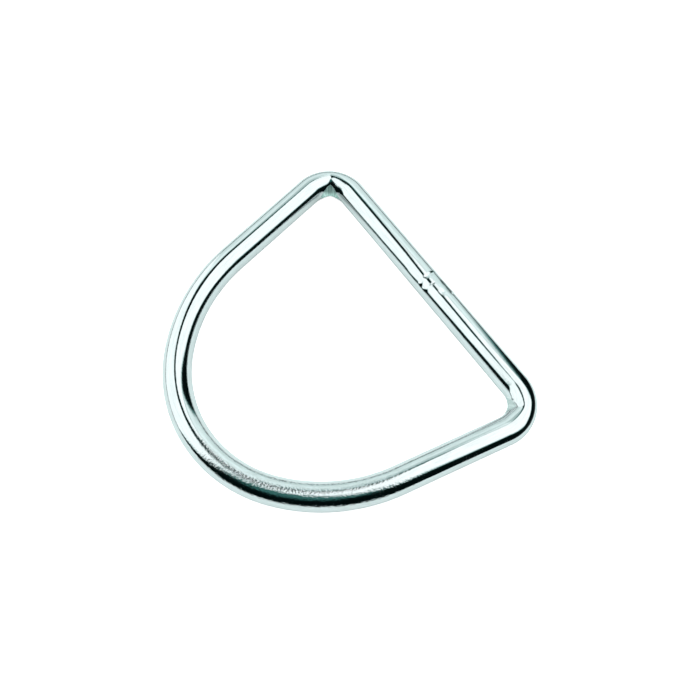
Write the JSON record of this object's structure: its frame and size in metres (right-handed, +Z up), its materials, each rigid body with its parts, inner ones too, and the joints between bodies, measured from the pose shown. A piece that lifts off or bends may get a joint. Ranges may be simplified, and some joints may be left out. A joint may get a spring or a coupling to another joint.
{
  "type": "welded d ring",
  "caption": "D shaped ring of round plated steel wire, with a straight bar for a webbing loop, leaning arms and a round bow, butt welded in the bar",
  "frame": {"origin": "on the surface that the ring lies on, under the middle of its outline", "axes": "+X along the straight bar, +Y from the bar towards the top of the bow, +Z up out of the ring's plane"},
  "size_m": [0.0594, 0.0508, 0.0047],
  "materials": {
    "plated_steel": "bright nickel plating on drawn steel wire, polished"
  },
  "bodies": {
    "root": {"ring": "plated_steel"}
  },
  "joints": []
}
